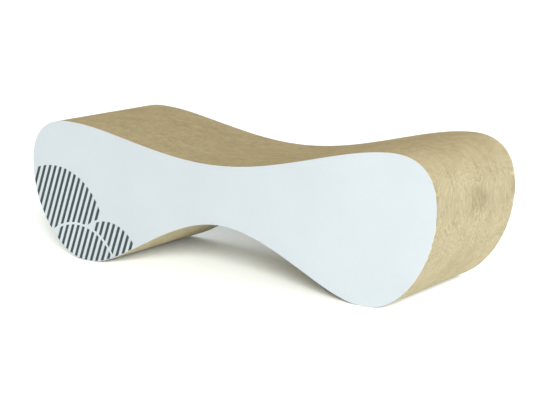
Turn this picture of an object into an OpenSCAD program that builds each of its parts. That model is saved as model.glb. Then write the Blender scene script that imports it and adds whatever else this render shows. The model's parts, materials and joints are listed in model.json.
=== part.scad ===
// Wave-shaped cardboard lounge for cats to scratch and lie on.
// A stack of corrugated sheets, all cut to one outline and glued face to face,
// is closed by a thin white-faced panel on each side.
// Frame: +X along the length, +Y from the front panel to the rear panel, +Z up.
// The origin is on the floor, at the middle of the length and of the depth. Millimetres.

/* [Overall size] */
// Overall length, end to end
body_l = 870; // [820:5:920]
// Height of the two crests above the floor
body_h = 260; // [245:5:275]

/* [Sheet stack] */
// Thickness of one corrugated core sheet
sheet_t = 5; // [4:0.5:6]
// Thickness of each white-faced side panel
panel_t = 4; // [3:0.5:6]

/* [Outline] */
// Depth of the seat dip below the crests
seat_dip = 52; // [40:1:60]
// Distance from the middle to each crest
crest_x = 350; // [335:5:360]
// Height of the widest point of each rounded end
end_z = 174; // [165:1:185]
// Distance from the middle to each foot
foot_x = 303; // [290:1:315]
// Length of the small flat on which each foot stands
foot_flat = 16; // [8:2:24]
// Rise of the arch under the middle
arch_rise = 102; // [90:1:110]

/* [Fullness of the curves] */
// How far the seat stays level around its lowest point, as a share of crest_x
seat_pull = 0.39; // [0.30:0.01:0.45]
// How far the crest stays level on its inner side, as a share of crest_x
crest_pull_in = 0.28; // [0.20:0.01:0.35]
// How far the crest stays level on its outer side, as a share of the way to the end
crest_pull_out = 0.60; // [0.50:0.01:0.70]
// How far the end stays upright above its widest point
end_pull_up = 0.70; // [0.55:0.01:0.75]
// How far the end stays upright below its widest point
end_pull_down = 0.55; // [0.45:0.01:0.60]
// How far the foot stays level on its outer side
foot_pull_out = 0.44; // [0.35:0.01:0.55]
// How far the foot stays level on its inner side, as a share of foot_x
foot_pull_in = 0.25; // [0.18:0.01:0.30]
// How far the arch stays level around its crown, as a share of foot_x
arch_pull = 0.38; // [0.30:0.01:0.45]

/* [Hidden] */
// Core sheets, counted from the front panel
sheet_count = 54;
// Straight steps along each curve of the outline
steps = 16;
body_w = sheet_count * sheet_t + 2 * panel_t;
half_l = body_l / 2;
foot_out = foot_x + foot_flat / 2;
foot_in = foot_x - foot_flat / 2;

// Point at share t of a cubic curve from a to d, pulled towards b and c
function curve_point(a, b, c, d, t) =
    pow(1 - t, 3) * a + 3 * pow(1 - t, 2) * t * b + 3 * (1 - t) * t * t * c + pow(t, 3) * d;

// The curve as points, without its last one, which starts the next curve
function curve(a, b, c, d) = [for (i = [0 : steps - 1]) curve_point(a, b, c, d, i / steps)];

// Right half of the outline, from the seat's lowest point round the end to the arch's crown
seat_low = [0, body_h - seat_dip];
crest = [crest_x, body_h];
end_tip = [half_l, end_z];
foot_outer = [foot_out, 0];
foot_inner = [foot_in, 0];
crown = [0, arch_rise];
right_half = concat(
    curve(seat_low, seat_low + [seat_pull * crest_x, 0], crest - [crest_pull_in * crest_x, 0], crest),
    curve(crest, crest + [crest_pull_out * (half_l - crest_x), 0], end_tip + [0, end_pull_up * (body_h - end_z)], end_tip),
    curve(end_tip, end_tip - [0, end_pull_down * end_z], foot_outer + [foot_pull_out * (half_l - foot_out), 0], foot_outer),
    [foot_outer],
    curve(foot_inner, foot_inner - [foot_pull_in * foot_in, 0], crown + [arch_pull * foot_in, 0], crown),
    [crown]
);
// The left half mirrors it, without the two points on the middle line
left_half = [for (i = [len(right_half) - 2 : -1 : 1]) [-right_half[i][0], right_half[i][1]]];
outline = concat(right_half, left_half);

// A slab of the outline with its front face at y and the given thickness
module slab(y, t) {
    translate([0, y + t, 0]) rotate([90, 0, 0]) linear_extrude(height = t) polygon(outline);
}

// White-faced board that closes the front of the stack
module front_panel() {
    color("#e4ecf0") slab(-body_w / 2, panel_t);
}

// Sheet number i of the corrugated core, counted from the front
module core_sheet(i) {
    color(i % 2 == 0 ? "#c4b48a" : "#b8a67a") slab(-body_w / 2 + panel_t + (i - 1) * sheet_t, sheet_t);
}

// White-faced board that closes the back of the stack
module rear_panel() {
    color("#e4ecf0") slab(body_w / 2 - panel_t, panel_t);
}

front_panel();
core_sheet(1);  // core_sheet_01
core_sheet(2);  // core_sheet_02
core_sheet(3);  // core_sheet_03
core_sheet(4);  // core_sheet_04
core_sheet(5);  // core_sheet_05
core_sheet(6);  // core_sheet_06
core_sheet(7);  // core_sheet_07
core_sheet(8);  // core_sheet_08
core_sheet(9);  // core_sheet_09
core_sheet(10);  // core_sheet_10
core_sheet(11);  // core_sheet_11
core_sheet(12);  // core_sheet_12
core_sheet(13);  // core_sheet_13
core_sheet(14);  // core_sheet_14
core_sheet(15);  // core_sheet_15
core_sheet(16);  // core_sheet_16
core_sheet(17);  // core_sheet_17
core_sheet(18);  // core_sheet_18
core_sheet(19);  // core_sheet_19
core_sheet(20);  // core_sheet_20
core_sheet(21);  // core_sheet_21
core_sheet(22);  // core_sheet_22
core_sheet(23);  // core_sheet_23
core_sheet(24);  // core_sheet_24
core_sheet(25);  // core_sheet_25
core_sheet(26);  // core_sheet_26
core_sheet(27);  // core_sheet_27
core_sheet(28);  // core_sheet_28
core_sheet(29);  // core_sheet_29
core_sheet(30);  // core_sheet_30
core_sheet(31);  // core_sheet_31
core_sheet(32);  // core_sheet_32
core_sheet(33);  // core_sheet_33
core_sheet(34);  // core_sheet_34
core_sheet(35);  // core_sheet_35
core_sheet(36);  // core_sheet_36
core_sheet(37);  // core_sheet_37
core_sheet(38);  // core_sheet_38
core_sheet(39);  // core_sheet_39
core_sheet(40);  // core_sheet_40
core_sheet(41);  // core_sheet_41
core_sheet(42);  // core_sheet_42
core_sheet(43);  // core_sheet_43
core_sheet(44);  // core_sheet_44
core_sheet(45);  // core_sheet_45
core_sheet(46);  // core_sheet_46
core_sheet(47);  // core_sheet_47
core_sheet(48);  // core_sheet_48
core_sheet(49);  // core_sheet_49
core_sheet(50);  // core_sheet_50
core_sheet(51);  // core_sheet_51
core_sheet(52);  // core_sheet_52
core_sheet(53);  // core_sheet_53
core_sheet(54);  // core_sheet_54
rear_panel();
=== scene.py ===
import json
import math

import bpy
import numpy as np
from mathutils import Matrix, Vector
from mathutils.geometry import delaunay_2d_cdt

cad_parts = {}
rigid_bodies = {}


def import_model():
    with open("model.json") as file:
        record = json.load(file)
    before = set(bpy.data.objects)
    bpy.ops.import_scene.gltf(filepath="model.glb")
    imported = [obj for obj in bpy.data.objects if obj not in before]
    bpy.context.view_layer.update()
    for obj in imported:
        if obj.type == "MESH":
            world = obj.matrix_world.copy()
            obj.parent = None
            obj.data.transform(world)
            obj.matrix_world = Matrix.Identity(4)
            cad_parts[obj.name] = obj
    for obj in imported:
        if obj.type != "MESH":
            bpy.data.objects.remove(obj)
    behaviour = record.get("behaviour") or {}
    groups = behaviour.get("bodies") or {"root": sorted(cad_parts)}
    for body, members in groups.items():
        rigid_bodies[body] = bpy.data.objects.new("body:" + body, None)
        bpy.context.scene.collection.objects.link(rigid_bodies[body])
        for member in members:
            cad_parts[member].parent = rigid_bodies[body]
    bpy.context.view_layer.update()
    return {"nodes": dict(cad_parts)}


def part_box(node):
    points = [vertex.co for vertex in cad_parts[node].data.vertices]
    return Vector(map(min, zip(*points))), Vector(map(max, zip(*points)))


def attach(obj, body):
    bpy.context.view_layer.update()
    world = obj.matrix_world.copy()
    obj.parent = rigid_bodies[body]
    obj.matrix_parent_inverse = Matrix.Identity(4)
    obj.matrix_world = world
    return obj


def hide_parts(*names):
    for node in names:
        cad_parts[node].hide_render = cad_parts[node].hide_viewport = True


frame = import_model()
scene = bpy.context.scene

# ---------------------------------------------------------------- camera
# A long lens a little above the seat, turned 35 degrees from the front face.
LENS_PX, YAW, PITCH, ROLL, DIST = 1524.5, 34.98, 11.10, -0.43, 2.763
ASIDE, ALOFT, AIM = -0.0221, 0.0359, Vector((0.0, 0.0, 0.15))


def aim_camera():
    yaw, pitch, roll = (math.radians(v) for v in (YAW, PITCH, ROLL))
    ahead = Vector((-math.sin(yaw) * math.cos(pitch), math.cos(yaw) * math.cos(pitch), -math.sin(pitch)))
    right = Vector((math.cos(yaw), math.sin(yaw), 0.0))
    up = right.cross(ahead)
    side = right * math.cos(roll) + up * math.sin(roll)
    top = up * math.cos(roll) - right * math.sin(roll)
    data = bpy.data.cameras.new("photo_camera")
    data.sensor_width = 36.0
    data.lens = LENS_PX / 550.0 * 36.0
    data.clip_start, data.clip_end = 0.05, 200.0
    camera = bpy.data.objects.new("photo_camera", data)
    scene.collection.objects.link(camera)
    place = AIM - ahead * DIST - side * ASIDE - top * ALOFT
    camera.matrix_world = Matrix((
        (side.x, top.x, -ahead.x, place.x),
        (side.y, top.y, -ahead.y, place.y),
        (side.z, top.z, -ahead.z, place.z),
        (0, 0, 0, 1),
    ))
    scene.camera = camera


aim_camera()

# ---------------------------------------------------------------- outline
# The same rule as the CAD outline, in metres.
HALF, HIGH, DIP, CREST_X, END_Z = 0.435, 0.260, 0.052, 0.350, 0.174
FOOT_X, FOOT_FLAT, ARCH = 0.303, 0.016, 0.102
SEAT_PULL, CREST_IN, CREST_OUT, END_UP, END_DOWN, FOOT_OUT, FOOT_IN, ARCH_PULL = 0.39, 0.28, 0.60, 0.70, 0.55, 0.44, 0.25, 0.38


def curve(a, b, c, d, n=700):
    t = np.linspace(0, 1, n)[:, None]
    a, b, c, d = (np.array(p, float) for p in (a, b, c, d))
    return (1 - t) ** 3 * a + 3 * (1 - t) ** 2 * t * b + 3 * (1 - t) * t * t * c + t ** 3 * d


foot_a, foot_b = FOOT_X + FOOT_FLAT / 2, FOOT_X - FOOT_FLAT / 2
top_line = np.vstack([
    curve((0, HIGH - DIP), (SEAT_PULL * CREST_X, HIGH - DIP), (CREST_X * (1 - CREST_IN), HIGH), (CREST_X, HIGH)),
    curve((CREST_X, HIGH), (CREST_X + CREST_OUT * (HALF - CREST_X), HIGH), (HALF, END_Z + END_UP * (HIGH - END_Z)), (HALF, END_Z))[1:],
])
low_line = np.vstack([
    curve((HALF, END_Z), (HALF, END_Z * (1 - END_DOWN)), (foot_a + FOOT_OUT * (HALF - foot_a), 0), (foot_a, 0)),
    curve((foot_b, 0), (foot_b * (1 - FOOT_IN), 0), (ARCH_PULL * foot_b, ARCH), (0, ARCH)),
])[::-1]
LONGEST = HALF - 2e-5  # columns stop just short of the tip, where the outline stands upright


def top_z(x):
    return np.interp(np.abs(x), top_line[:, 0], top_line[:, 1])


def low_z(x):
    return np.interp(np.abs(x), low_line[:, 0], low_line[:, 1])


def end_columns(step=0.0022):
    """x of columns near one end, close enough that the outline's steps in z stay about even."""
    xs = []
    for line in (top_line, low_line):
        part = line[line[:, 0] > 0.385]
        way = np.r_[0, np.cumsum(np.hypot(*np.diff(part, axis=0).T))]
        xs.append(np.interp(np.arange(0, way[-1], step), way, part[:, 0]))
    xs = np.unique(np.concatenate(xs))
    return xs[xs < LONGEST]


def thin_out(xs, gap):
    kept = [xs[0]]
    for x in xs[1:]:
        if x - kept[-1] >= gap(x):
            kept.append(x)
    return np.array(kept)


def soft_noise(xs, scale, size, seed):
    """A smooth random line along x: size is its usual height, scale the distance over which it changes."""
    r = np.random.default_rng(seed)
    knots = np.arange(-0.5, 0.5 + scale, scale)
    values = r.normal(0, size, len(knots))
    t = (xs + 0.5) / scale
    i = np.clip(t.astype(int), 0, len(knots) - 2)
    f = t - i
    f = f * f * (3 - 2 * f)
    return values[i] * (1 - f) + values[i + 1] * f


# ---------------------------------------------------------------- mesh helpers
class Shells:
    """Gathers closed shells of quads, then makes one mesh of them."""

    def __init__(self):
        self.co, self.quads, self.smooth, self.mat, self.tone, self.rim = [], [], [], [], [], []
        self.n = 0

    def add(self, front, back, tone, rim, mats, smooth):
        """front and back are grids of points, (columns, rows, 3), whose rims are joined by walls.
        mats are the material numbers of the front, the back and the walls."""
        c, r = front.shape[:2]
        index = np.arange(c * r).reshape(c, r)
        f, b = self.n + index, self.n + c * r + index
        self.co += [front.reshape(-1, 3), back.reshape(-1, 3)]
        self.tone += [tone.reshape(-1)] * 2
        self.rim += [rim.reshape(-1)] * 2
        self.n += 2 * c * r

        def grid(g, flip):
            q = np.stack([g[:-1, :-1], g[1:, :-1], g[1:, 1:], g[:-1, 1:]], -1).reshape(-1, 4)
            return q[:, ::-1] if flip else q

        ring_f = np.concatenate([f[:, 0], f[-1, 1:], f[-2::-1, -1], f[0, -2:0:-1]])
        ring_b = np.concatenate([b[:, 0], b[-1, 1:], b[-2::-1, -1], b[0, -2:0:-1]])
        walls = np.stack([ring_f, ring_b, np.roll(ring_b, -1), np.roll(ring_f, -1)], -1)
        for q, m, s in ((grid(f, False), mats[0], smooth), (grid(b, True), mats[1], smooth), (walls, mats[2], False)):
            self.quads.append(q)
            self.mat.append(np.full(len(q), m))
            self.smooth.append(np.full(len(q), s))

    def mesh(self, name, extra=None):
        """extra holds (points, triangles, materials of the triangles) to add as they are."""
        co = np.concatenate(self.co)
        quads = np.concatenate(self.quads)
        loops = [quads.reshape(-1)]
        totals = [np.full(len(quads), 4)]
        mat, smooth = list(self.mat), list(self.smooth)
        tone, rim = list(self.tone), list(self.rim)
        if extra:
            points, triangles, kinds = extra
            loops.append((triangles + len(co)).reshape(-1))
            totals.append(np.full(len(triangles), 3))
            co = np.concatenate([co, points])
            mat.append(kinds)
            smooth.append(np.zeros(len(triangles), bool))
            tone.append(np.full(len(points), 0.5))
            rim.append(np.zeros(len(points)))
        loops, totals = np.concatenate(loops), np.concatenate(totals)
        me = bpy.data.meshes.new(name)
        me.vertices.add(len(co))
        me.loops.add(len(loops))
        me.polygons.add(len(totals))
        me.vertices.foreach_set("co", co.astype(np.float32).reshape(-1))
        me.loops.foreach_set("vertex_index", loops.astype(np.int32))
        me.polygons.foreach_set("loop_start", np.r_[0, np.cumsum(totals)[:-1]].astype(np.int32))
        me.polygons.foreach_set("material_index", np.concatenate(mat).astype(np.int32))
        me.update(calc_edges=True)
        me.polygons.foreach_set("use_smooth", np.concatenate(smooth))
        for key, values in (("tone", tone), ("rim", rim)):
            a = me.attributes.new(key, "FLOAT", "POINT")
            a.data.foreach_set("value", np.concatenate(values).astype(np.float32))
        me.validate()
        me.update()
        return me


def add_piece(name, me, materials, node):
    ob = bpy.data.objects.new(name, me)
    scene.collection.objects.link(ob)
    for m in materials:
        me.materials.append(m)
    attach(ob, "root")
    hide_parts(node)
    return ob


# ---------------------------------------------------------------- materials
def nodes_of(name):
    m = bpy.data.materials.new(name)
    m.use_nodes = True
    t = m.node_tree
    t.nodes.clear()
    out = t.nodes.new("ShaderNodeOutputMaterial")
    bsdf = t.nodes.new("ShaderNodeBsdfPrincipled")
    t.links.new(bsdf.outputs["BSDF"], out.inputs["Surface"])
    return m, t, bsdf


def node(t, kind, inputs=None, **settings):
    n = t.nodes.new(kind)
    for k, v in settings.items():
        setattr(n, k, v)
    for k, v in (inputs or {}).items():
        if isinstance(v, bpy.types.NodeSocket):
            t.links.new(v, n.inputs[k])
        else:
            n.inputs[k].default_value = v
    return n


def ramp(t, fac, stops, mode="LINEAR"):
    n = t.nodes.new("ShaderNodeValToRGB")
    n.color_ramp.interpolation = mode
    while len(n.color_ramp.elements) < len(stops):
        n.color_ramp.elements.new(0.5)
    for e, (p, c) in zip(n.color_ramp.elements, stops):
        e.position = p
        e.color = (*c, 1.0) if len(c) == 3 else (c[0], c[0], c[0], 1.0)
    t.links.new(fac, n.inputs["Fac"])
    return n.outputs["Color"]


def mix(t, fac, a, b, mode="MIX"):
    n = t.nodes.new("ShaderNodeMix")
    n.data_type = "RGBA"
    n.blend_type = mode
    n.clamp_result = False
    for socket, v in ((n.inputs[0], fac), (n.inputs[6], a), (n.inputs[7], b)):
        if isinstance(v, bpy.types.NodeSocket):
            t.links.new(v, socket)
        elif isinstance(v, (int, float)):
            socket.default_value = v
        else:
            socket.default_value = (*v, 1.0)
    return n.outputs[2]


def scaled(t, coords, scale):
    return node(t, "ShaderNodeVectorMath", {0: coords, 1: scale}, operation="MULTIPLY").outputs[0]


def noise(t, vector, scale, detail=3.0, rough=0.55):
    return node(t, "ShaderNodeTexNoise", {"Vector": vector, "Scale": scale, "Detail": detail, "Roughness": rough}).outputs["Fac"]


def kraft(name, dark, light, rim_colour, rim_share, rough=(0.80, 0.97)):
    """Uncoated kraft paper: cloudy tone, long fibres, pale and dark flecks, and a fuzzier band at the cut."""
    m, t, bsdf = nodes_of(name)
    at = node(t, "ShaderNodeTexCoord").outputs["Object"]
    tone = node(t, "ShaderNodeAttribute", attribute_name="tone").outputs["Fac"]
    rim = node(t, "ShaderNodeAttribute", attribute_name="rim").outputs["Fac"]
    cloud = noise(t, at, 14.0, 4.0)
    fibre = noise(t, scaled(t, at, (420.0, 420.0, 60.0)), 4.0, 3.0, 0.6)
    speck = noise(t, at, 950.0, 2.0, 0.7)
    level = node(t, "ShaderNodeMath", {0: cloud, 1: 0.45}, operation="MULTIPLY").outputs[0]
    level = node(t, "ShaderNodeMath", {0: fibre, 1: 0.30, 2: level}, operation="MULTIPLY_ADD").outputs[0]
    level = node(t, "ShaderNodeMath", {0: tone, 1: 0.45, 2: level}, operation="MULTIPLY_ADD").outputs[0]
    colour = ramp(t, level, [(0.30, dark), (0.86, light)])
    flecks = ramp(t, speck, [(0.30, (0.78, 0.74, 0.68)), (0.42, (1.0, 1.0, 1.0)), (0.62, (1.0, 1.0, 1.0)), (0.74, (1.16, 1.15, 1.12))])
    colour = mix(t, 0.8, colour, flecks, "MULTIPLY")
    moved = node(t, "ShaderNodeVectorMath", {0: at, 1: (0.0, -0.11, 0.009)}, operation="ADD").outputs[0]
    stain = node(t, "ShaderNodeMath", {0: noise(t, moved, 22.0, 2.0), 1: 0.5, 2: node(t, "ShaderNodeMath", {0: noise(t, moved, 75.0, 2.0), 1: 0.5}, operation="MULTIPLY").outputs[0]}, operation="MULTIPLY_ADD").outputs[0]
    colour = mix(t, 1.0, colour, ramp(t, stain, [(0.34, (0.86, 0.84, 0.80)), (0.50, (1.0, 1.0, 1.0)), (0.66, (1.07, 1.07, 1.08))]), "MULTIPLY")
    shred = ramp(t, noise(t, at, 240.0, 1.5), [(0.30, (0.88, 0.87, 0.84)), (0.42, (1.0, 1.0, 1.0)), (0.60, (1.0, 1.0, 1.0)), (0.70, (1.05, 1.05, 1.05))])
    # shreds and marks of the cut, which run across the sheets; both fade out round the ends
    along = node(t, "ShaderNodeMath", {0: node(t, "ShaderNodeSeparateXYZ", {0: at}).outputs[0]}, operation="ABSOLUTE").outputs[0]
    share = node(t, "ShaderNodeMapRange", {"Value": along, "From Min": 0.38, "From Max": 0.42, "To Min": 1.0, "To Max": 0.35}).outputs[0]
    colour = mix(t, share, colour, shred, "MULTIPLY")
    share = node(t, "ShaderNodeMapRange", {"Value": along, "From Min": 0.37, "From Max": 0.41, "To Min": 1.0, "To Max": 0.25}).outputs[0]
    marks = noise(t, scaled(t, at, (1.0, 0.22, 1.0)), 260.0, 2.0, 0.6)
    colour = mix(t, share, colour, ramp(t, marks, [(0.30, (0.89, 0.88, 0.86)), (0.50, (1.0, 1.0, 1.0)), (0.70, (1.09, 1.09, 1.08))]), "MULTIPLY")
    # a darker patch in the middle of the right end, streaked along the flutes
    off = node(t, "ShaderNodeVectorMath", {0: at, 1: (0.435, 0.006, 0.170)}, operation="SUBTRACT").outputs[0]
    off = node(t, "ShaderNodeVectorMath", {0: scaled(t, off, (30.0, 31.0, 34.0))}, operation="LENGTH").outputs["Value"]
    share = node(t, "ShaderNodeMapRange", {"Value": off, "From Min": 0.35, "From Max": 1.25, "To Min": 1.0, "To Max": 0.0}).outputs[0]
    streaks = noise(t, scaled(t, at, (1.0, 1.0, 0.14)), 420.0, 2.0, 0.6)
    colour = mix(t, share, colour, ramp(t, streaks, [(0.36, (0.66, 0.62, 0.56)), (0.62, (1.0, 1.0, 1.0))]), "MULTIPLY")
    # torn fluff, paler, where the cut runs along the flutes
    share = node(t, "ShaderNodeMapRange", {"Value": along, "From Min": 0.431, "From Max": 0.4345, "To Min": 0.0, "To Max": 1.0}).outputs[0]
    colour = mix(t, share, colour, (1.08, 1.08, 1.08), "MULTIPLY")
    share = node(t, "ShaderNodeMath", {0: rim, 1: rim_share}, operation="MULTIPLY").outputs[0]
    colour = mix(t, share, colour, rim_colour)
    t.links.new(colour, bsdf.inputs["Base Color"])
    r = node(t, "ShaderNodeMapRange", {"Value": fibre, "To Min": rough[0], "To Max": rough[1]}).outputs[0]
    t.links.new(r, bsdf.inputs["Roughness"])
    bsdf.inputs["Specular IOR Level"].default_value = 0.22
    bump = node(t, "ShaderNodeBump", {"Strength": 0.35, "Distance": 0.0002, "Height": fibre}).outputs[0]
    t.links.new(bump, bsdf.inputs["Normal"])
    return m


def white_face(name, low, high):
    """White coated liner: faint cloud, very fine grain, and the flutes showing through as a weak washboard."""
    m, t, bsdf = nodes_of(name)
    at = node(t, "ShaderNodeTexCoord").outputs["Object"]
    cloud = noise(t, at, 6.0, 3.0)
    grain = noise(t, scaled(t, at, (1.0, 1.0, 0.35)), 700.0, 2.0, 0.6)
    level = node(t, "ShaderNodeMath", {0: grain, 1: 0.35}, operation="MULTIPLY").outputs[0]
    level = node(t, "ShaderNodeMath", {0: cloud, 1: 0.65, 2: level}, operation="MULTIPLY_ADD").outputs[0]
    colour = ramp(t, level, [(0.36, low), (0.66, high)])
    t.links.new(colour, bsdf.inputs["Base Color"])
    r = node(t, "ShaderNodeMapRange", {"Value": cloud, "To Min": 0.42, "To Max": 0.56}).outputs[0]
    t.links.new(r, bsdf.inputs["Roughness"])
    bsdf.inputs["Specular IOR Level"].default_value = 0.38
    wave = node(t, "ShaderNodeTexWave", {"Vector": at, "Scale": math.pi / 10.0 / 0.0072, "Distortion": 0.4, "Detail": 1.0},
                wave_type="BANDS", bands_direction="X", wave_profile="SIN").outputs["Fac"]
    both = node(t, "ShaderNodeMath", {0: grain, 1: 0.15, 2: wave}, operation="MULTIPLY_ADD").outputs[0]
    bump = node(t, "ShaderNodeBump", {"Strength": 0.10, "Distance": 0.0004, "Height": both}).outputs[0]
    t.links.new(bump, bsdf.inputs["Normal"])
    return m


def ink(name, dark, light):
    """Printed ink on the white liner: nearly even, with the paper's grain breaking it up a little."""
    m, t, bsdf = nodes_of(name)
    at = node(t, "ShaderNodeTexCoord").outputs["Object"]
    cloud = noise(t, at, 40.0, 3.0)
    grain = noise(t, at, 1400.0, 2.0, 0.7)
    level = node(t, "ShaderNodeMath", {0: grain, 1: 0.6}, operation="MULTIPLY").outputs[0]
    level = node(t, "ShaderNodeMath", {0: cloud, 1: 0.4, 2: level}, operation="MULTIPLY_ADD").outputs[0]
    t.links.new(ramp(t, level, [(0.32, dark), (0.72, light)]), bsdf.inputs["Base Color"])
    r = node(t, "ShaderNodeMapRange", {"Value": grain, "To Min": 0.38, "To Max": 0.60}).outputs[0]
    t.links.new(r, bsdf.inputs["Roughness"])
    bsdf.inputs["Specular IOR Level"].default_value = 0.40
    return m


# painted light and shade: the liner and flute faces, which lie mostly in shade inside the flutes, are painted lighter
# than the paper is, and the cut edges, which catch the light, are painted darker
LINER = kraft("kraft_liner", (0.548, 0.470, 0.292), (0.645, 0.563, 0.371), (0.615, 0.538, 0.352), 0.4)
FLUTE = kraft("kraft_flute", (0.538, 0.460, 0.285), (0.634, 0.555, 0.365), (0.606, 0.531, 0.347), 0.4)
CUT = kraft("kraft_cut_edge", (0.361, 0.325, 0.214), (0.454, 0.417, 0.290), (0.407, 0.371, 0.255), 0.0)
WHITE = white_face("white_liner", (0.624, 0.690, 0.742), (0.662, 0.725, 0.775))
WHITE_CUT = kraft("white_liner_cut", (0.660, 0.640, 0.570), (0.780, 0.770, 0.710), (0.800, 0.790, 0.740), 0.4)
INK = ink("dark_ink", (0.030, 0.046, 0.050), (0.052, 0.074, 0.080))

# ---------------------------------------------------------------- corrugated board
LINER_T, FLUTE_T = 0.00034, 0.00034
PER_FLUTE = 6  # columns of faces in one wave of the fluted paper
BURR = np.array([[1.5, 1.0, 1.0, 1.5]])  # the saw leaves the liners' edges a little thicker
RAGGED = 0.00022  # and a little uneven


def board(shells, y0, y1, waves, pitch, seed, front_face=True, rear_face=True, trim=0.0002):
    """Corrugated board between the planes y0 and y1, cut to the outline: a liner, then waves times a
    fluted paper and a liner. front_face and rear_face say whether the outer liners are made here."""
    r = np.random.default_rng(seed)
    inset_top = trim * (0.25 + 0.75 * r.random())
    inset_low = trim * 0.5 * r.random()
    reach = LONGEST - trim * 0.6 * r.random()
    sheet_tone = r.uniform(0.25, 0.75)

    def z_rows(x_low, x_top):
        """Four rows of z: the lower edge, a little above it, a little below the upper edge, the upper edge."""
        hi = top_z(x_top * (LONGEST / reach)) - inset_top * (1 + 0.5 * np.tanh(soft_noise(x_top, 0.03, 1.0, seed + 1)))
        lo = low_z(x_low * (LONGEST / reach)) + inset_low * (1 + 0.5 * np.tanh(soft_noise(x_low, 0.03, 1.0, seed + 2)))
        hi = np.maximum(hi, lo + 0.0015)
        b = np.minimum(0.0025, (hi - lo) / 3)
        return np.stack([lo, lo + b, hi - b, hi], 1)

    ends = end_columns() * (reach / LONGEST)
    ends = np.r_[ends[ends < reach - 1e-6], reach]
    deep = (y1 - y0 - LINER_T * (waves + 1)) / waves

    # liners
    xs = np.concatenate([-ends[::-1], np.linspace(-0.385, 0.385, 151)[1:-1], ends])
    xs = np.unique(np.round(xs, 7))
    z = z_rows(xs, xs)
    for k in range(waves + 1):
        if (k == 0 and not front_face) or (k == waves and not rear_face):
            continue
        front = np.stack([np.repeat(xs[:, None], 4, 1), np.full_like(z, y0 + k * (deep + LINER_T)), z], -1)
        back = front.copy()
        back[..., 1] += LINER_T
        if k > 0:
            front[..., 1] -= LINER_T * (BURR - 1) / 2
        if k < waves:
            back[..., 1] += LINER_T * (BURR - 1) / 2
        tone = np.full_like(z, sheet_tone) + soft_noise(xs, 0.05, 0.08, seed + 3)[:, None] + r.normal(0, 0.2, z.shape)
        uneven = np.abs(r.normal(0, RAGGED, (len(xs), 2))) * [1, -1]
        front[:, ::3, 2] += uneven
        back[:, ::3, 2] += uneven
        shells.add(front, back, tone, np.tile([1.0, 0.0, 0.0, 1.0], (len(xs), 1)), (0, 0, 2), False)

    # fluted papers
    fine = np.linspace(-reach, reach, 12001)
    for k in range(waves):
        middle = y0 + LINER_T + deep / 2 + k * (deep + LINER_T)
        turns = 2 * math.pi * (fine / pitch + r.random()) + soft_noise(fine, 0.06, 0.35, seed + 4 + 5 * k) + soft_noise(fine, 0.012, 0.35, seed + 8 + 5 * k)
        turns = np.maximum.accumulate(turns)
        steps = np.arange(math.ceil(turns[0] * PER_FLUTE / math.tau), math.floor(turns[-1] * PER_FLUTE / math.tau)) + 0.5
        xs = np.interp(steps * math.tau / PER_FLUTE, turns, fine)
        tight = ends[ends > 0.425]
        xs = xs[np.abs(xs) < 0.4335 * reach / LONGEST]
        xs = np.unique(np.round(np.concatenate([-tight[::-1], xs, tight]), 7))
        xs = thin_out(xs, lambda x: 0.00001 if abs(x) > 0.433 else 0.0002)
        sway = np.sin(np.interp(xs, fine, turns))
        sway /= np.abs(sway).max()
        y = middle + (deep / 2 - FLUTE_T / 2 + 0.00003) * sway
        slope = np.gradient(y, xs)
        nx, ny = -slope / np.hypot(slope, 1), 1 / np.hypot(slope, 1)
        fade = np.clip((reach - np.abs(xs)) / 0.01, 0, 1)
        lean = np.stack([soft_noise(xs, 0.012, 0.00032, seed + 5 + 5 * k), soft_noise(xs, 0.012, 0.00032, seed + 6 + 5 * k)], 1) * fade[:, None]
        calm = np.clip((reach - np.abs(xs)) / 0.004, 0.05, 1)[:, None] ** [0.5, 0.5, 0, 0, 0.5, 0.5]
        ragged = r.normal(0, RAGGED, (len(xs), 6)) * calm
        sides = []
        for way in (-1, 1):
            x = xs[:, None] + way * nx[:, None] * FLUTE_T / 2 + lean
            z = z_rows(x[:, 0], x[:, 1])[:, ::3]
            x = np.clip(x + ragged[:, :2], -reach, reach)
            z = z + np.abs(ragged[:, 2:4]) * [1, -1]
            across = y[:, None] + way * ny[:, None] * FLUTE_T / 2 + 1.2 * ragged[:, 4:]
            sides.append(np.stack([x, np.clip(across, middle - deep / 2, middle + deep / 2), z], -1))
        rim = np.ones((len(xs), 2))
        tone = np.full_like(rim, sheet_tone) + soft_noise(xs, 0.012, 0.12, seed + 7 + 5 * k)[:, None] + r.normal(0, 0.2, rim.shape)
        shells.add(*sides, tone, rim, (1, 1, 2), True)


def core_sheets():
    names = sorted(n for n in frame["nodes"] if n.startswith("core_sheet_"))
    for i, name in enumerate(names):
        lo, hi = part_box(name)
        shells = Shells()
        board(shells, lo.y, hi.y, 3, 0.0034 * (1 + 0.01 * math.sin(1.7 * i)), 1000 + 30 * i)
        me = shells.mesh("corrugated" + name[4:])
        add_piece("corrugated" + name[4:], me, [LINER, FLUTE, CUT], name)


# ---------------------------------------------------------------- printed panel
HATCH, STROKE, SLANT = 0.01226, 0.0060, math.radians(20.7)
# Three round hills: middle x and z, radius. A nearer hill stands in front of the ones before it.
HILLS = ((-0.384, 0.052, 0.122), (-0.255, 0.006, 0.074), (-0.330, -0.030, 0.096))
GAP = 0.0042


def inside_outline(x, z, margin):
    return (np.abs(x) < HALF - margin) & (z < top_z(x) - margin) & (z > low_z(x) + margin)


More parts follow.
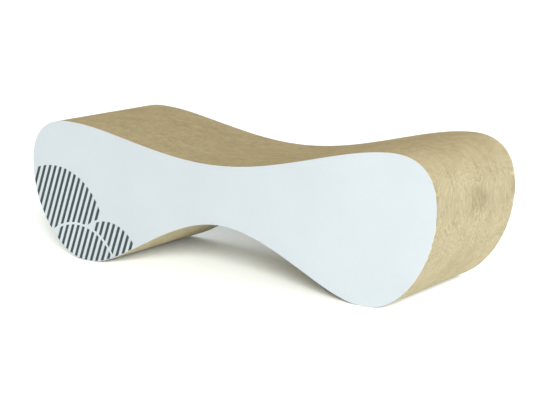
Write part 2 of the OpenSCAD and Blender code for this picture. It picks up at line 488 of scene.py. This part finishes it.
def hatch_strokes():
    """Hatching strokes as closed outlines in (x, z). Each hill is hatched on its own and ends short of the nearer one."""
    strokes = []
    c, s = math.cos(SLANT), math.sin(SLANT)
    for k, (hx, hz, hr) in enumerate(HILLS):
        nearer = HILLS[k + 1:]
        for j in range(-40, 41):
            offset = (j + 0.33 * k) * HATCH
            along = np.arange(-0.26, 0.26, 0.0004)
            edges = []
            for w in (-STROKE / 2, STROKE / 2):
                # the stroke's side: distance from the hill's middle, across the hatching, is offset + w
                x = hx + (offset + w) * c + along * s
                z = hz - (offset + w) * s + along * c
                ok = np.hypot(x - hx, z - hz) < hr
                ok &= inside_outline(x, z, 0.0012)
                for nx_, nz_, nr in nearer:
                    ok &= np.hypot(x - nx_, z - nz_) > nr + GAP
                edges.append((x, z, ok))
            both = edges[0][2] & edges[1][2]
            runs = np.flatnonzero(np.diff(np.r_[0, both.astype(int), 0]))
            for a, b in zip(runs[::2], runs[1::2]):
                if b - a < 16:
                    continue
                ends = []
                for x, z, ok in edges:
                    lo, hi = a, b - 1
                    while lo > 0 and ok[lo - 1] and a - lo < 30:
                        lo -= 1
                    while hi < len(ok) - 1 and ok[hi + 1] and hi - b < 30:
                        hi += 1
                    ends.append(((x[lo], z[lo]), (x[hi], z[hi])))
                strokes.append([ends[0][0], ends[1][0], ends[1][1], ends[0][1]])
    return strokes


def rim_points(inset):
    """The outline as a closed line of (x, z), moved inwards."""
    right = np.vstack([top_line[::18], low_line[::-18]])
    right = right[right[:, 0] > 1e-6]
    left = right[::-1] * [-1, 1]
    ring = np.vstack([[[0.0, HIGH - DIP]], right, [[0.0, ARCH]], left])
    keep = np.r_[True, np.hypot(*np.diff(ring, axis=0).T) > 4e-4]
    ring = ring[keep]
    d = np.roll(ring, -1, 0) - np.roll(ring, 1, 0)
    d /= np.hypot(*d.T)[:, None]
    return ring + np.stack([d[:, 1], -d[:, 0]], 1) * inset  # the line runs clockwise, so inwards is to its right


def white_liner(y_face, outward, strokes):
    """The white liner of a panel: a flat face with any strokes cut into it, a slightly turned-over rim and a back."""
    flat = rim_points(0.0007)
    edge = rim_points(0.0002)
    n = len(flat)
    verts = [Vector(p) for p in flat]
    lines = [(i, (i + 1) % n) for i in range(n)]
    for stroke in strokes:
        start = len(verts)
        verts += [Vector(p) for p in stroke]
        lines += [(start + i, start + (i + 1) % len(stroke)) for i in range(len(stroke))]
    got, _, faces, sources, *_ = delaunay_2d_cdt(verts, lines, [], 0, 1e-7)
    place = {i: k for k, group in enumerate(sources) for i in group}
    got = np.array([tuple(v) for v in got])
    tri = np.array([f for f in faces if len(f) == 3])
    mid = got[tri].mean(1)
    area = np.abs(np.cross(got[tri[:, 1]] - got[tri[:, 0]], got[tri[:, 2]] - got[tri[:, 0]]))
    ring_x, ring_z = flat[:, 0], flat[:, 1]

    def within(px, pz, polygon):
        x, z = polygon[:, 0], polygon[:, 1]
        x2, z2 = np.roll(x, -1), np.roll(z, -1)
        hits = ((z[None] > pz[:, None]) != (z2[None] > pz[:, None])) & (
            px[:, None] < (x2 - x)[None] * (pz[:, None] - z[None]) / np.where(z2 == z, 1e-12, z2 - z)[None] + x[None])
        return hits.sum(1) % 2 == 1

    keep = within(mid[:, 0], mid[:, 1], flat) & (area > 1e-13)
    tri, mid = tri[keep], mid[keep]
    kinds = np.zeros(len(tri), int)
    for stroke in strokes:
        p = np.array(stroke)
        near = (np.abs(mid[:, 0] - p[:, 0].mean()) < 0.2) & (np.abs(mid[:, 1] - p[:, 1].mean()) < 0.3)
        idx = np.flatnonzero(near)
        kinds[idx[within(mid[idx, 0], mid[idx, 1], p)]] = 3
    a, b, c = got[tri[:, 0]], got[tri[:, 1]], got[tri[:, 2]]
    turn = np.cross(b - a, c - a)
    tri[turn < 0] = tri[turn < 0][:, ::-1]  # all counterclockwise in (x, z): they face -Y
    if outward > 0:
        tri = tri[:, ::-1]
    points = np.stack([got[:, 0], np.full(len(got), y_face), got[:, 1]], 1)
    # strokes that end on the outline split it, so the rim follows the face's own outer edge
    sides = set(map(tuple, np.concatenate([tri[:, [0, 1]], tri[:, [1, 2]], tri[:, [2, 0]]]).tolist()))
    hop = dict((q, p) if outward < 0 else (p, q) for p, q in sides if (q, p) not in sides)

    def between(p, q):
        """Steps along the face's outer edge from one outline point to the next."""
        way = [p]
        while way[-1] != q and way[-1] in hop and len(way) < 12:
            way.append(hop[way[-1]])
        return list(zip(way, way[1:])) if way[-1] == q else [(p, q)]

    # the strokes get points of their own, so that ink and paper stay apart in a texture map
    used, again = np.unique(tri[kinds == 3], return_inverse=True)
    tri[kinds == 3] = len(points) + again.reshape(-1, 3)
    points = np.concatenate([points, points[used]])
    # rim and back
    start = len(points)
    y_edge, y_back = y_face - outward * 0.00016, y_face - outward * LINER_T
    rim_a = np.stack([edge[:, 0], np.full(n, y_edge), edge[:, 1]], 1)
    rim_b = np.stack([edge[:, 0], np.full(n, y_back), edge[:, 1]], 1)
    face_ring = np.array([place[i] for i in range(n)])
    a_ring = start + np.arange(n)
    b_ring = start + n + np.arange(n)
    more, kinds_more = [], []
    for one, two, kind in ((face_ring, a_ring, 0), (a_ring, b_ring, 4)):
        one2, two2 = np.roll(one, -1), np.roll(two, -1)
        fans = [(p, far, q) for here, there, far in zip(one.tolist(), one2.tolist(), two2.tolist()) for p, q in between(here, there)]
        quads = [np.stack([one, two, two2], 1), np.array(fans)]
        more += quads
        kinds_more += [np.full(len(q), kind) for q in quads]
    # back face, from the same triangles' outline
    _, _, bf, sources, *_ = delaunay_2d_cdt([Vector(p) for p in edge], [(i, (i + 1) % n) for i in range(n)], [], 1, 1e-7)
    back_of = np.array([group[0] for group in sources])
    bt = back_of[np.array([f for f in bf if len(f) == 3])]
    a, b, c = edge[bt[:, 0]], edge[bt[:, 1]], edge[bt[:, 2]]
    turn = np.cross(b - a, c - a)
    bt = bt[np.abs(turn) > 1e-13]
    turn = turn[np.abs(turn) > 1e-13]
    bt[turn > 0] = bt[turn > 0][:, ::-1]
    if outward > 0:
        bt = bt[:, ::-1]
    points = np.concatenate([points, rim_a, rim_b])
    if outward < 0:  # so that the rim faces away from the board
        more = [q[:, ::-1] for q in more]
    triangles = np.concatenate([tri, *more, b_ring[bt]])
    kinds = np.concatenate([kinds, *kinds_more, np.full(len(bt), 0)])
    return points, triangles, kinds


def panel(node_name, piece_name, outward, strokes, seed):
    lo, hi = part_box(node_name)
    shells = Shells()
    if outward < 0:
        board(shells, lo.y + 0.00005, hi.y, 1, 0.0072, seed, front_face=False, trim=0.0002)
        y_face = lo.y + 0.00005
    else:
        board(shells, lo.y, hi.y - 0.00005, 1, 0.0072, seed, rear_face=False, trim=0.0002)
        y_face = hi.y - 0.00005
    # materials: 0 inner liner, 1 flute, 2 cut edge, 3 ink, 4 cut of the white liner, 5 white face
    points, triangles, kinds = white_liner(y_face, outward, strokes)
    kinds = np.where(kinds == 0, 5, kinds)
    me = shells.mesh(piece_name, (points, triangles, kinds))
    return add_piece(piece_name, me, [LINER, FLUTE, CUT, INK, WHITE_CUT, WHITE], node_name)


core_sheets()
panel("front_panel", "front_panel_board", -1, hatch_strokes(), 501)
panel("rear_panel", "rear_panel_board", 1, [], 701)

# ---------------------------------------------------------------- studio
def floor():
    me = bpy.data.meshes.new("studio_floor")
    s = 40.0
    me.from_pydata([(-s, -s, 0), (s, -s, 0), (s, s, 0), (-s, s, 0)], [], [(0, 1, 2, 3)])
    ob = bpy.data.objects.new("studio_floor", me)
    scene.collection.objects.link(ob)
    ob.location.z = -0.0003
    m, t, bsdf = nodes_of("pale_floor")
    at = node(t, "ShaderNodeTexCoord").outputs["Object"]
    t.links.new(ramp(t, noise(t, at, 3.0, 2.0), [(0.3, (0.858, 0.885, 0.862)), (0.7, (0.878, 0.905, 0.882))]), bsdf.inputs["Base Color"])
    bsdf.inputs["Roughness"].default_value = 0.9
    bsdf.inputs["Specular IOR Level"].default_value = 0.1
    bsdf.inputs["Emission Color"].default_value = (0.97, 1.0, 0.97, 1.0)
    bsdf.inputs["Emission Strength"].default_value = 0.03  # a lit table
    me.materials.append(m)
    return ob


def backdrop():
    """A round white wall far behind everything, for low views. Only the camera sees it, so it lights nothing."""
    ring, high = 96, (-0.5, 2.0, 12.0, 30.0)
    turn = np.linspace(0, math.tau, ring, endpoint=False)
    verts = [(38 * math.cos(a), 38 * math.sin(a), z) for z in high for a in turn]
    faces = [(k * ring + i, k * ring + (i + 1) % ring, (k + 1) * ring + (i + 1) % ring, (k + 1) * ring + i)
             for k in range(len(high) - 1) for i in range(ring)]
    me = bpy.data.meshes.new("studio_backdrop")
    me.from_pydata(verts, [], faces)
    ob = bpy.data.objects.new("studio_backdrop", me)
    scene.collection.objects.link(ob)
    m, t, bsdf = nodes_of("pale_backdrop")
    at = node(t, "ShaderNodeTexCoord").outputs["Object"]
    t.links.new(ramp(t, noise(t, at, 0.05, 1.0), [(0.3, (0.98, 0.98, 0.98)), (0.7, (1.0, 1.0, 1.0))]), bsdf.inputs["Emission Color"])
    bsdf.inputs["Base Color"].default_value = (0.0, 0.0, 0.0, 1.0)
    bsdf.inputs["Specular IOR Level"].default_value = 0.0
    bsdf.inputs["Emission Strength"].default_value = 1.0
    me.materials.append(m)
    ob.visible_diffuse = ob.visible_glossy = ob.visible_transmission = ob.visible_shadow = ob.visible_volume_scatter = False


def keep_to(light, only):
    """Lets a light fall on some objects only."""
    if only:
        lit = bpy.data.collections.new(light.name + "_lit")
        for o in only:
            lit.objects.link(o)
        light.light_linking.receiver_collection = lit


def area_light(name, place, aim, size, power, colour, only=None):
    data = bpy.data.lights.new(name, "AREA")
    data.shape = "RECTANGLE"
    data.size, data.size_y = size
    data.energy = power
    data.color = colour
    ob = bpy.data.objects.new(name, data)
    scene.collection.objects.link(ob)
    ob.location = place
    ob.rotation_euler = (Vector(aim) - Vector(place)).to_track_quat("-Z", "Y").to_euler()
    keep_to(ob, only)
    return ob


def wide_sun(name, azimuth, height, angle, power, colour, only=None):
    """A very soft light of the same strength everywhere. azimuth 0 comes from the front, 90 from the right end;
    only keeps it to some objects."""
    data = bpy.data.lights.new(name, "SUN")
    data.angle = math.radians(angle)
    data.energy = power
    data.color = colour
    ob = bpy.data.objects.new(name, data)
    scene.collection.objects.link(ob)
    az, up = math.radians(azimuth), math.radians(height)
    way = Vector((-math.sin(az) * math.cos(up), math.cos(az) * math.cos(up), -math.sin(up)))
    ob.rotation_euler = way.to_track_quat("-Z", "Y").to_euler()
    keep_to(ob, only)
    return ob


pieces = [o for o in scene.objects if o.name.startswith(("corrugated_", "front_", "rear_"))]
ground = floor()
backdrop()
world = bpy.data.worlds.new("studio_air")
scene.world = world
world.use_nodes = True
sky = world.node_tree.nodes["Background"]
sky.inputs["Color"].default_value = (1.0, 1.0, 1.0, 1.0)
sky.inputs["Strength"].default_value = 0.16
# on the object
wide_sun("overhead_soft", -70.0, 78.0, 80.0, 1.58, (1.0, 0.85, 0.56), pieces)
wide_sun("front_fill", 20.0, 38.0, 40.0, 0.525, (1.0, 1.0, 1.0), pieces)
wide_sun("right_fill", 60.0, 30.0, 40.0, 0.685, (1.0, 0.943, 0.934), pieces)
wide_sun("back_fill", -160.0, 10.0, 40.0, 0.9, (1.0, 1.0, 1.0), pieces)
area_light("right_softbox", (1.9, -0.53, 0.42), (0.3, 0, 0.11), (1.2, 0.8), 19.0, (1.0, 1.0, 1.0))
# on the table
wide_sun("floor_wash", 39.5, 21.3, 20.0, 6.75, (1.0, 1.0, 1.0), [ground])
wide_sun("floor_right", 62.0, 26.0, 28.0, 0.72, (1.0, 1.0, 1.0), [ground])
wide_sun("floor_left", -110.0, 35.0, 30.0, 0.84, (1.0, 1.0, 1.0), [ground])
wide_sun("floor_back", -130.0, 20.0, 40.0, 1.29, (1.0, 1.0, 0.97), [ground])

scene.view_settings.view_transform = "Standard"
scene.view_settings.look = "None"
